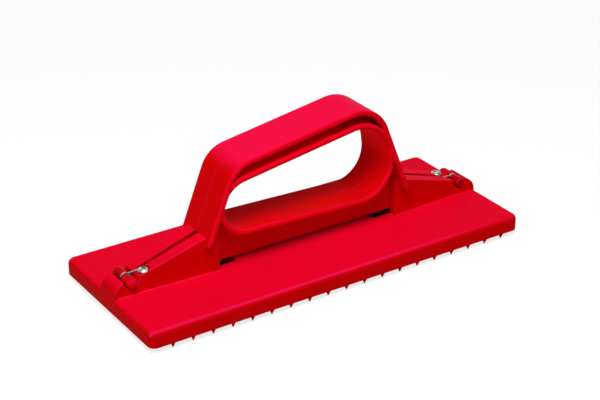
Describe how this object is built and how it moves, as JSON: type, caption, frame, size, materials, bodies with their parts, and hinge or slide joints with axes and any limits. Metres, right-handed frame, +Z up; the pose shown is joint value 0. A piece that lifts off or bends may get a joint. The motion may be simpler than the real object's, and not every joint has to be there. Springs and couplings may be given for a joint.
{
  "type": "scouring pad holder",
  "caption": "Hand-held scouring pad holder with a rectangular spiked plate, a loop handle and a claw lever in a sloping housing at each end.",
  "frame": {"origin": "centre of the plate's outline, at the tips of the gripping spikes under it", "axes": "+X along the plate's length, towards the handle's higher end; +Y across its width; +Z up, from the spikes to the handle"},
  "size_m": [0.235, 0.095, 0.0844],
  "materials": {
    "body": "semi-matte red",
    "grip": "semi-matte deep red",
    "steel": "stainless, bright",
    "dark_steel": "black, satin"
  },
  "bodies": {
    "base": {"base_plate": "body", "handle": "body", "pivot_pin_left": "grip", "pivot_pin_right": "grip", "catch_screw_left": "steel", "catch_screw_right": "steel"},
    "lever_left": {"lever_left": "steel", "claw_plate_left": "dark_steel", "thumb_knob_left": "grip", "thumb_cap_left": "grip"},
    "lever_right": {"lever_right": "steel", "claw_plate_right": "dark_steel", "thumb_knob_right": "grip", "thumb_cap_right": "grip"}
  },
  "joints": [
    {"name": "lever_left_hinge", "type": "hinge", "parent": "base", "child": "lever_left", "pos_m": [-0.072, 0, 0.0198], "axis": [0, 1, 0], "range_deg": [0, 14]},
    {"name": "lever_right_hinge", "type": "hinge", "parent": "base", "child": "lever_right", "pos_m": [0.072, 0, 0.0198], "axis": [0, -1, 0], "range_deg": [0, 14]}
  ]
}
